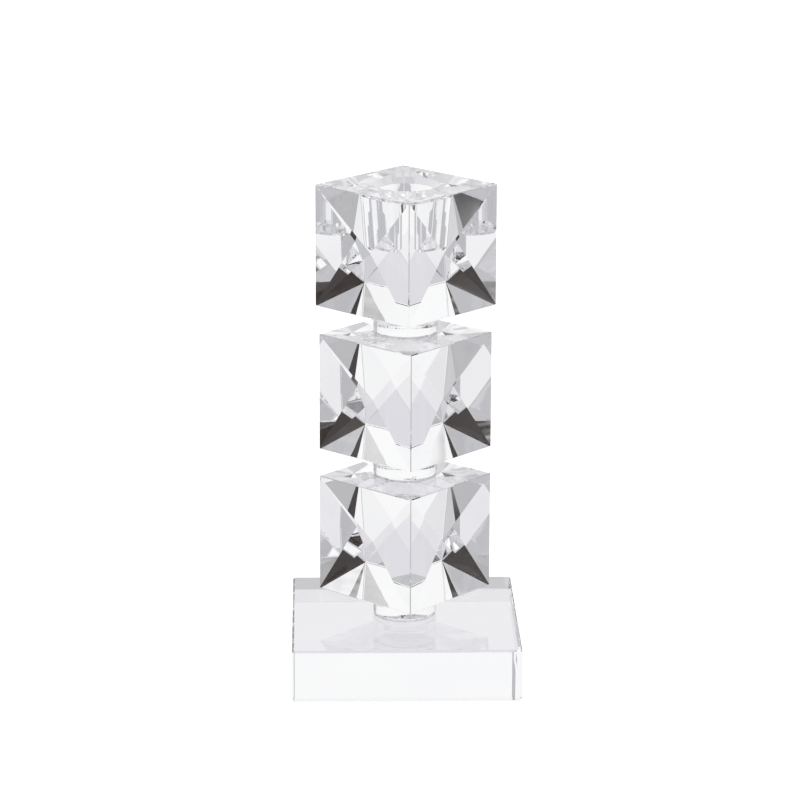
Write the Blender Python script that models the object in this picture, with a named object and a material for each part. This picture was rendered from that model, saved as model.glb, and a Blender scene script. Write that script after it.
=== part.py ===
"""Cut crystal candlestick: a square slab base, three concave-faceted blocks and
the short round necks between them, bonded end to end.  Metres, +Z up, the base
standing on Z = 0 and the column on the Z axis."""
import math

import bmesh
import bpy

# ---------------------------------------------------------------- dimensions
BASE_SIDE = 0.0930            # square slab, side
BASE_THICK = 0.0216           # slab thickness
BASE_ARRIS = 0.0007           # polished chamfer on the slab's edges

BLOCK_SIDE = 0.0500           # lower and middle blocks, side of the square plan
BLOCK_HEIGHT = 0.0486         # lower and middle blocks, height
UPPER_SIDE = 0.0520           # socket block, side of the square plan
UPPER_HEIGHT = 0.0502         # socket block, height
BLOCK_TURN = (2.3, 2.2, 0.4)  # lower, middle, upper: degrees past the diagonal
FACET_RATIO = 0.10            # apex depth of the sunk side faces / side
BLOCK_ARRIS = 0.00035         # polished chamfer on the blocks' outer edges

NECK_RADIUS = 0.0130          # clear spacer rod
NECK_HEIGHT = 0.0093
NECK_ARRIS = 0.0005
BOND_RADIUS = 0.0128          # clear adhesive film at each joint
BOND_THICK = 0.0005
SEAM = 0.0003                 # clearance left between touching pieces
ROUND_STEPS = 64              # facets round the necks and films

SOCKET_RADIUS = 0.0111        # bore for a taper candle
SOCKET_DEPTH = 0.0245
SOCKET_RIM_RADIUS = 0.0136    # bore opened out by the rim chamfer
SOCKET_RIM_DROP = 0.0022
SOCKET_FLOOR_RADIUS = 0.0100  # tool radius left at the bottom of the bore
SOCKET_STEPS = 48


# ------------------------------------------------------------------- helpers
def clear_scene():
    for ob in list(bpy.data.objects):
        bpy.data.objects.remove(ob, do_unlink=True)
    for block in (bpy.data.meshes, bpy.data.materials):
        for item in list(block):
            block.remove(item)


def glass_material(name, tint, roughness, ior):
    mat = bpy.data.materials.new(name)
    mat.use_nodes = True
    shader = mat.node_tree.nodes["Principled BSDF"]
    shader.inputs["Base Color"].default_value = tint
    shader.inputs["Roughness"].default_value = roughness
    shader.inputs["IOR"].default_value = ior
    shader.inputs["Transmission Weight"].default_value = 1.0
    mat.diffuse_color = tint
    return mat


def add_object(name, bm, mat):
    bmesh.ops.recalc_face_normals(bm, faces=bm.faces[:])
    mesh = bpy.data.meshes.new(name)
    bm.to_mesh(mesh)
    bm.free()
    ob = bpy.data.objects.new(name, mesh)
    ob.data.materials.append(mat)
    bpy.context.scene.collection.objects.link(ob)
    return ob


def square_corners(side, z, turn_deg):
    """Corners of a square plan: left, front, right, back for turn = 0."""
    radius = side / math.sqrt(2.0)
    out = []
    for k in range(4):
        ang = math.pi + k * math.pi / 2.0 + math.radians(turn_deg)
        out.append((radius * math.cos(ang), radius * math.sin(ang), z))
    return out


def lathe(bm, profile, steps):
    """Solid of revolution; profile runs from the axis out and back to it."""
    rings = []
    for radius, z in profile:
        if radius == 0.0:
            rings.append([bm.verts.new((0.0, 0.0, z))])
            continue
        ring = []
        for k in range(steps):
            ang = 2.0 * math.pi * (k + 0.5) / steps
            ring.append(bm.verts.new((radius * math.cos(ang), radius * math.sin(ang), z)))
        rings.append(ring)
    for low, high in zip(rings[:-1], rings[1:]):
        for k in range(steps):
            nxt = (k + 1) % steps
            if len(low) == 1:
                bm.faces.new((low[0], high[nxt], high[k]))
            elif len(high) == 1:
                bm.faces.new((low[k], low[nxt], high[0]))
            else:
                bm.faces.new((low[k], low[nxt], high[nxt], high[k]))


# ----------------------------------------------------------------- sub-parts
def base_slab(mat):
    """Square slab with a small chamfer on every edge."""
    bm = bmesh.new()
    low = [bm.verts.new(c) for c in square_corners(BASE_SIDE, 0.0, 45.0)]
    high = [bm.verts.new(c) for c in square_corners(BASE_SIDE, BASE_THICK, 45.0)]
    bm.faces.new(low[::-1])
    bm.faces.new(high)
    for k in range(4):
        nxt = (k + 1) % 4
        bm.faces.new((low[k], low[nxt], high[nxt], high[k]))
    bmesh.ops.bevel(bm, geom=bm.edges[:], offset=BASE_ARRIS, segments=1, affect="EDGES")
    return add_object("base_slab", bm, mat)


def faceted_block(name, side, height, z, turn, mat):
    """Square block whose four side faces are sunk to a shallow point."""
    bm = bmesh.new()
    low_co = square_corners(side, z, turn)
    high_co = square_corners(side, z + height, turn)
    low = [bm.verts.new(c) for c in low_co]
    high = [bm.verts.new(c) for c in high_co]
    bm.faces.new(low[::-1])
    bm.faces.new(high)
    outer = set()
    for k in range(4):
        nxt = (k + 1) % 4
        mid_x = (low_co[k][0] + low_co[nxt][0]) / 2.0
        mid_y = (low_co[k][1] + low_co[nxt][1]) / 2.0
        scale = 1.0 - FACET_RATIO * side / math.hypot(mid_x, mid_y)
        apex = bm.verts.new((mid_x * scale, mid_y * scale, z + height / 2.0))
        ring = (low[k], low[nxt], high[nxt], high[k])
        for j in range(4):
            bm.faces.new((ring[j], ring[(j + 1) % 4], apex))
            outer.add(frozenset((ring[j], ring[(j + 1) % 4])))
    edges = [e for e in bm.edges if frozenset(e.verts) in outer]
    bmesh.ops.bevel(bm, geom=edges, offset=BLOCK_ARRIS, segments=1, affect="EDGES")
    return add_object(name, bm, mat)


def neck(name, z, mat):
    """Short round spacer with chamfered ends."""
    bm = bmesh.new()
    inner = NECK_RADIUS - NECK_ARRIS
    top = z + NECK_HEIGHT
    profile = [(0.0, z), (inner, z), (NECK_RADIUS, z + NECK_ARRIS)]
    profile += [(NECK_RADIUS, top - NECK_ARRIS), (inner, top), (0.0, top)]
    lathe(bm, profile, ROUND_STEPS)
    return add_object(name, bm, mat)


def bond_film(name, z, mat):
    """Thin disc of clear adhesive."""
    bm = bmesh.new()
    top = z + BOND_THICK
    profile = [(0.0, z), (BOND_RADIUS, z), (BOND_RADIUS, top), (0.0, top)]
    lathe(bm, profile, ROUND_STEPS)
    return add_object(name, bm, mat)


def bore_socket(block, top, mat):
    """Cut the candle socket and its rim chamfer into the top of a block."""
    bm = bmesh.new()
    floor = top - SOCKET_DEPTH
    rise = SOCKET_RADIUS - SOCKET_FLOOR_RADIUS
    over = 0.002
    slope = (SOCKET_RIM_RADIUS - SOCKET_RADIUS) / SOCKET_RIM_DROP
    profile = [(0.0, floor), (SOCKET_FLOOR_RADIUS, floor), (SOCKET_RADIUS, floor + rise)]
    profile += [(SOCKET_RADIUS, top - SOCKET_RIM_DROP)]
    profile += [(SOCKET_RIM_RADIUS + slope * over, top + over), (0.0, top + over)]
    lathe(bm, profile, SOCKET_STEPS)
    cutter = add_object("socket_cutter", bm, mat)
    cutter.hide_render = True
    cutter.display_type = "WIRE"
    mod = block.modifiers.new("socket", "BOOLEAN")
    mod.operation = "DIFFERENCE"
    mod.solver = "EXACT"
    mod.object = cutter


def build():
    clear_scene()
    crystal = glass_material("clear_crystal", (0.97, 0.98, 0.985, 1.0), 0.02, 1.52)
    base_mat = glass_material("clear_crystal_base", (0.96, 0.975, 0.98, 1.0), 0.02, 1.52)
    neck_mat = glass_material("clear_crystal_rod", (0.95, 0.965, 0.97, 1.0), 0.04, 1.52)
    bond_mat = glass_material("clear_adhesive", (0.93, 0.935, 0.93, 1.0), 0.18, 1.49)

    base_slab(base_mat)
    z = BASE_THICK
    levels = (
        ("lower", BLOCK_SIDE, BLOCK_HEIGHT),
        ("middle", BLOCK_SIDE, BLOCK_HEIGHT),
        ("upper", UPPER_SIDE, UPPER_HEIGHT),
    )
    for index, (level, side, height) in enumerate(levels):
        z += SEAM
        bond_film("bond_under_" + level + "_neck", z, bond_mat)
        z += BOND_THICK + SEAM
        neck("neck_" + level, z, neck_mat)
        z += NECK_HEIGHT + SEAM
        bond_film("bond_over_" + level + "_neck", z, bond_mat)
        z += BOND_THICK + SEAM
        name = "block_" + level
        block = faceted_block(name, side, height, z, BLOCK_TURN[index], crystal)
        z += height
    bore_socket(block, z, crystal)


build()
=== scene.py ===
"""Looks for the cut crystal candlestick: glass, adhesive, floor, light, camera."""
import math

import bpy
from mathutils import Matrix, Vector


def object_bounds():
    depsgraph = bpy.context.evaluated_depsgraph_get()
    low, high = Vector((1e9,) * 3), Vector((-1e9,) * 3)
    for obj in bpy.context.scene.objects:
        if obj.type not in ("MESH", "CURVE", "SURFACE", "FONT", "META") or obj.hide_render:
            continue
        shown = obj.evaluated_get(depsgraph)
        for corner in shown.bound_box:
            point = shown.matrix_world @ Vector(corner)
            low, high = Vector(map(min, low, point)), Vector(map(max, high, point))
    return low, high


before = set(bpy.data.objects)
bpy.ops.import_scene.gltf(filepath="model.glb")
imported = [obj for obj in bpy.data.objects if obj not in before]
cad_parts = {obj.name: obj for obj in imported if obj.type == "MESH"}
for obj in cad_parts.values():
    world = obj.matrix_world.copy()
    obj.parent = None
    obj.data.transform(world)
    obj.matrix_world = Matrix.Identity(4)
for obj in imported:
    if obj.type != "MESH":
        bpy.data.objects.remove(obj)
CAD_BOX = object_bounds()

# -------------------------------------------------------------------- camera
CAMERA_PITCH = 15.92             # degrees down
CAMERA_AZIMUTH = -1.43           # degrees round the column
CAMERA_ROLL = 0.2                # degrees
CAMERA_TARGET = (-0.0022, 0.0, 0.1134)
CAMERA_DISTANCE = 1.4283
CAMERA_LENS = 157.5              # millimetres, on a 36 mm wide sensor
CAMERA_SENSOR = 36.0
CAMERA_CLIP = (0.05, 20.0)

# --------------------------------------------------------------------- glass
GLASS_IOR = 1.52
CLEAR = (0.992, 0.994, 0.996, 1.0)
VEIL = (0.975, 0.978, 0.988, 1.0)       # tint in the hollows of the waviness
ROD_VEIL = (0.96, 0.965, 0.97, 1.0)
WAVE_BAND = (0.35, 0.65)                # noise range over which the tint changes
# painted shade: the arrises are darkened towards this tint, standing in for the duller
# light they catch
ARRIS_PAINTED_SHADE_TINT = (0.62, 0.62, 0.68, 1.0)
ARRIS_RADIUS = 0.00035                  # reach of the edge's painted shade and rougher polish
ARRIS_BAND = (0.998, 0.9)               # cosine of rounded to flat normal
ARRIS_SHADE = 0.6
ARRIS_ROUGH = 0.12
DUST_TINT = (0.70, 0.69, 0.68, 1.0)
DUST_SCALE = 2600.0                     # noise scales are per metre
DUST_BAND = (0.74, 0.82)
DUST_SHADE = 0.25
SCUFF_SCALE = 210.0
SCUFF_DETAIL = 6.0
SCUFF_GRAIN = 0.7
SCUFF_BAND = (0.66, 0.8)
SCUFF_TURN = (0.35, 0.2, 0.6)           # direction of the hairlines
SCUFF_STRETCH = (1.0, 9.0, 1.0)

# ------------------------------------------------------------------ adhesive
FILM_IOR = 1.49
FILM_CLEAR = (0.93, 0.93, 0.935, 1.0)
FILM_CLOUD = (0.85, 0.85, 0.86, 1.0)
CLOUD_SCALE = 120.0
CLOUD_BAND = (0.35, 0.7)
CLOUD_ROUGH = 0.10
BUBBLE_TINT = (0.80, 0.80, 0.82, 1.0)
BUBBLE_SCALE = 620.0
BUBBLE_BAND = (0.34, 0.22)              # distance from a cell's point
BUBBLE_PATCH_SCALE = 260.0              # bubbles come in patches
BUBBLE_PATCH_BAND = (0.5, 0.58)
BUBBLE_SHADE = 0.5
BUBBLE_ROUGH = 0.2
BUBBLE_BUMP = 0.6
BUBBLE_DEPTH = 0.00015
SPECK_TINT = (0.30, 0.28, 0.27, 1.0)
SPECK_SCALE = 1700.0
SPECK_BAND = (0.70, 0.76)
SPECK_SHADE = 0.8

# --------------------------------------------------------------------- floor
FLOOR_HALF = 3.0
FLOOR_DROP = 0.0004
FLOOR_TINT = (0.9, 0.9, 0.9, 1.0)
FLOOR_ROUGH = 0.6
FLOOR_GLOW = 0.62

# The tent round the object, by direction: x is across the object, y is away
# from the camera's side and z is up, each from -1 to 1.  A band (a, b) rises
# from 0 at a to 1 at b.
WHITE = (1.0, 1.0, 1.0, 1.0)
TABLE_SHADOW_TINT = (0.76, 0.75, 0.79, 1.0)    # below the horizon: painted shadow of the object on the table, seen through the glass
TABLE_Z = (-0.12, -0.42)
WING_TINT = (0.54, 0.54, 0.56, 1.0)     # far sides, below the horizon
WING_X = (0.66, 0.80)
WING_Z = (0.03, -0.02)
FRONT_TINT = (0.50, 0.50, 0.52, 1.0)    # the camera's side
FRONT_Y = (-0.20, -0.60)
CARD_X = (0.52, 0.62)                   # grey and black cards at each side
CARD_TURN = 0.16                        # both are turned a little round Z
CARD_NEAR = (-0.30, -0.24)
CARD_FAR = (0.38, 0.32)
GREY_TINT = (0.48, 0.48, 0.49, 1.0)
GREY_Z = (0.14, 0.17)
BLACK_TINT = (0.022, 0.013, 0.009, 1.0)
BLACK_FOOT_Z = (0.335, 0.37)            # the black card's lower edge
BLACK_HEAD_Z = (0.84, 0.80)             # and its upper edge
STRIP_FOOT_Z = (0.03, 0.06)             # a thin black strip near the horizon
STRIP_HEAD_Z = (0.17, 0.14)
TOP_TINT = (1.25, 1.25, 1.25, 1.0)      # soft overhead light
TOP_Z = (0.86, 0.92)

MAX_BOUNCES = 32
GLOSSY_BOUNCES = 16


def make_camera():
    pitch = math.radians(CAMERA_PITCH)
    roll = math.radians(CAMERA_ROLL)
    spin = Matrix.Rotation(math.radians(CAMERA_AZIMUTH), 3, "Z")
    forward = spin @ Vector((0.0, math.cos(pitch), -math.sin(pitch)))
    right = spin @ Vector((1.0, 0.0, 0.0))
    up = right.cross(forward)
    across = right * math.cos(roll) + up * math.sin(roll)
    above = up * math.cos(roll) - right * math.sin(roll)
    eye = spin @ Vector(CAMERA_TARGET) - forward * CAMERA_DISTANCE
    data = bpy.data.cameras.new("camera")
    data.lens = CAMERA_LENS
    data.sensor_width = CAMERA_SENSOR
    data.clip_start, data.clip_end = CAMERA_CLIP
    cam = bpy.data.objects.new("camera", data)
    basis = Matrix((across, above, -forward)).transposed()
    cam.matrix_world = Matrix.Translation(eye) @ basis.to_4x4()
    bpy.context.scene.collection.objects.link(cam)
    bpy.context.scene.camera = cam


class Graph:
    """Short calls for building a node tree."""

    def __init__(self, tree):
        self.tree = tree

    def node(self, kind, **settings):
        made = self.tree.nodes.new(kind)
        for key, value in settings.items():
            setattr(made, key, value)
        return made

    def feed(self, socket, value):
        if isinstance(value, bpy.types.NodeSocket):
            self.tree.links.new(value, socket)
        else:
            socket.default_value = value

    def math(self, operation, a, b=0.0, clamp=False):
        made = self.node("ShaderNodeMath", operation=operation, use_clamp=clamp)
        self.feed(made.inputs[0], a)
        self.feed(made.inputs[1], b)
        return made.outputs[0]

    def times(self, a, b):
        return self.math("MULTIPLY", a, b)

    def ramp(self, value, band):
        """A smooth step from 0 at the band's first value to 1 at its second."""
        made = self.node("ShaderNodeMapRange", clamp=True)
        made.interpolation_type = "SMOOTHSTEP"
        self.feed(made.inputs["Value"], value)
        made.inputs["From Min"].default_value = band[0]
        made.inputs["From Max"].default_value = band[1]
        return made.outputs["Result"]

    def noise(self, where, scale, detail=2.0, roughness=0.5):
        made = self.node("ShaderNodeTexNoise")
        self.feed(made.inputs["Vector"], where)
        made.inputs["Scale"].default_value = scale
        made.inputs["Detail"].default_value = detail
        made.inputs["Roughness"].default_value = roughness
        return made.outputs["Fac"]

    def mix(self, factor, a, b):
        made = self.node("ShaderNodeMix", data_type="RGBA")
        self.feed(made.inputs["Factor"], factor)
        self.feed(made.inputs["A"], a)
        self.feed(made.inputs["B"], b)
        return made.outputs["Result"]

    def bump(self, height, strength, distance):
        made = self.node("ShaderNodeBump")
        made.inputs["Strength"].default_value = strength
        made.inputs["Distance"].default_value = distance
        self.feed(made.inputs["Height"], height)
        return made.outputs[0]


def new_material(name):
    """A new material, its graph and its Principled shader's inputs."""
    mat = bpy.data.materials.new(name)
    mat.use_nodes = True
    shader = mat.node_tree.nodes["Principled BSDF"]
    return mat, Graph(mat.node_tree), shader.inputs


def crystal(name, veil, wave, wave_depth, haze):
    """Polished cut glass: faint pressed waviness, hairline scuffs and dust, and arrises
    given a rougher polish and a darker tint as painted shade, standing in for the duller
    light they catch."""
    mat, g, shader = new_material(name)
    where = g.node("ShaderNodeTexCoord").outputs["Object"]
    swell = g.noise(where, wave, 1.0)
    streak = g.node("ShaderNodeMapping")
    g.feed(streak.inputs["Vector"], where)
    streak.inputs["Rotation"].default_value = SCUFF_TURN
    streak.inputs["Scale"].default_value = SCUFF_STRETCH
    hairs = g.noise(streak.outputs[0], SCUFF_SCALE, SCUFF_DETAIL, SCUFF_GRAIN)
    scuffs = g.ramp(hairs, SCUFF_BAND)
    dust = g.ramp(g.noise(where, DUST_SCALE), DUST_BAND)

    rounded = g.node("ShaderNodeBevel", samples=4)
    rounded.inputs["Radius"].default_value = ARRIS_RADIUS
    dot = g.node("ShaderNodeVectorMath", operation="DOT_PRODUCT")
    g.feed(dot.inputs[0], rounded.outputs[0])
    g.feed(dot.inputs[1], g.node("ShaderNodeNewGeometry").outputs["True Normal"])
    arris_shade_and_frost = g.ramp(dot.outputs["Value"], ARRIS_BAND)

    tint = g.mix(g.ramp(swell, WAVE_BAND), CLEAR, veil)
    # painted shade: darken the arrises towards their arris tint
    tint = g.mix(g.times(arris_shade_and_frost, ARRIS_SHADE), tint, ARRIS_PAINTED_SHADE_TINT)
    tint = g.mix(g.times(dust, DUST_SHADE), tint, DUST_TINT)
    g.feed(shader["Base Color"], tint)
    rough = g.times(g.math("MAXIMUM", scuffs, dust), haze)
    rough = g.math("ADD", rough, g.times(arris_shade_and_frost, ARRIS_ROUGH), clamp=True)
    g.feed(shader["Roughness"], rough)
    g.feed(shader["Normal"], g.bump(swell, 1.0, wave_depth))
    shader["IOR"].default_value = GLASS_IOR
    shader["Transmission Weight"].default_value = 1.0
    return mat


def adhesive(name):
    """Cured clear film: a slightly milky layer with trapped bubbles and specks."""
    mat, g, shader = new_material(name)
    where = g.node("ShaderNodeTexCoord").outputs["Object"]
    cells = g.node("ShaderNodeTexVoronoi")
    g.feed(cells.inputs["Vector"], where)
    cells.inputs["Scale"].default_value = BUBBLE_SCALE
    bubble = g.ramp(cells.outputs["Distance"], BUBBLE_BAND)
    patch = g.ramp(g.noise(where, BUBBLE_PATCH_SCALE), BUBBLE_PATCH_BAND)
    bubble = g.times(bubble, patch)
    speck = g.ramp(g.noise(where, SPECK_SCALE, 3.0), SPECK_BAND)
    cloud = g.ramp(g.noise(where, CLOUD_SCALE, 3.0), CLOUD_BAND)

    tint = g.mix(cloud, FILM_CLEAR, FILM_CLOUD)
    tint = g.mix(g.times(bubble, BUBBLE_SHADE), tint, BUBBLE_TINT)
    tint = g.mix(g.times(speck, SPECK_SHADE), tint, SPECK_TINT)
    g.feed(shader["Base Color"], tint)
    rough = g.times(cloud, CLOUD_ROUGH)
    rough = g.math("ADD", rough, g.times(bubble, BUBBLE_ROUGH))
    g.feed(shader["Roughness"], rough)
    g.feed(shader["Normal"], g.bump(bubble, BUBBLE_BUMP, BUBBLE_DEPTH))
    shader["IOR"].default_value = FILM_IOR
    shader["Transmission Weight"].default_value = 1.0
    return mat


def dress():
    """Give every CAD node its glass, by the first word of its name."""
    looks = {
        "base": crystal("crystal_slab", VEIL, 18.0, 0.00002, 0.05),
        "block": crystal("crystal_block", VEIL, 34.0, 0.00015, 0.05),
        "neck": crystal("crystal_rod", ROD_VEIL, 120.0, 0.00005, 0.08),
        "bond": adhesive("clear_adhesive"),
    }
    for name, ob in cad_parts.items():
        ob.data.materials.clear()
        ob.data.materials.append(looks[name.split("_")[0]])


def make_floor():
    """White floor, hidden from the light that passes through or off the glass."""
    r = FLOOR_HALF
    corners = [(-r, -r, 0), (r, -r, 0), (r, r, 0), (-r, r, 0)]
    mesh = bpy.data.meshes.new("floor")
    mesh.from_pydata(corners, [], [(0, 1, 2, 3)])
    mat, _, shader = new_material("floor_white")
    shader["Base Color"].default_value = FLOOR_TINT
    shader["Roughness"].default_value = FLOOR_ROUGH
    shader["Emission Color"].default_value = WHITE
    shader["Emission Strength"].default_value = FLOOR_GLOW
    mesh.materials.append(mat)
    ob = bpy.data.objects.new("floor", mesh)
    ob.location.z = CAD_BOX[0].z - FLOOR_DROP
    ob.visible_transmission = False
    ob.visible_glossy = False
    bpy.context.scene.collection.objects.link(ob)


def make_world():
    """White tent with the table side greyed as painted shadow of the object, dim far sides
    and camera side, a grey and a black card at each side, and a soft overhead light.  The
    camera itself sees plain white."""
    world = bpy.data.worlds.new("studio")
    bpy.context.scene.world = world
    world.use_nodes = True
    g = Graph(world.node_tree)
    background = world.node_tree.nodes["Background"]
    split = g.node("ShaderNodeSeparateXYZ")
    g.feed(split.inputs[0], g.node("ShaderNodeTexCoord").outputs["Generated"])
    x, y, z = split.outputs
    out_x = g.math("ABSOLUTE", x)

    # painted shadow: grey the table side below the horizon
    tent = g.mix(g.ramp(z, TABLE_Z), WHITE, TABLE_SHADOW_TINT)
    tent = g.mix(g.times(g.ramp(out_x, WING_X), g.ramp(z, WING_Z)), tent, WING_TINT)
    tent = g.mix(g.ramp(y, FRONT_Y), tent, FRONT_TINT)

    turned = g.math("SUBTRACT", y, g.times(x, CARD_TURN))
    card = g.times(g.ramp(turned, CARD_NEAR), g.ramp(turned, CARD_FAR))
    card = g.times(g.ramp(out_x, CARD_X), card)
    tent = g.mix(g.times(card, g.ramp(z, GREY_Z)), tent, GREY_TINT)
    black = g.times(g.ramp(z, BLACK_FOOT_Z), g.ramp(z, BLACK_HEAD_Z))
    strip = g.times(g.ramp(z, STRIP_FOOT_Z), g.ramp(z, STRIP_HEAD_Z))
    black = g.times(card, g.math("ADD", black, strip))
    tent = g.mix(black, tent, BLACK_TINT)
    tent = g.mix(g.ramp(z, TOP_Z), tent, TOP_TINT)

    seen = g.node("ShaderNodeLightPath").outputs["Is Camera Ray"]
    g.feed(background.inputs["Color"], g.mix(seen, tent, WHITE))
    background.inputs["Strength"].default_value = 1.0


make_camera()
dress()
make_floor()
make_world()
scene = bpy.context.scene
scene.view_settings.view_transform = "Standard"
scene.cycles.max_bounces = MAX_BOUNCES
scene.cycles.transmission_bounces = MAX_BOUNCES
scene.cycles.glossy_bounces = GLOSSY_BOUNCES
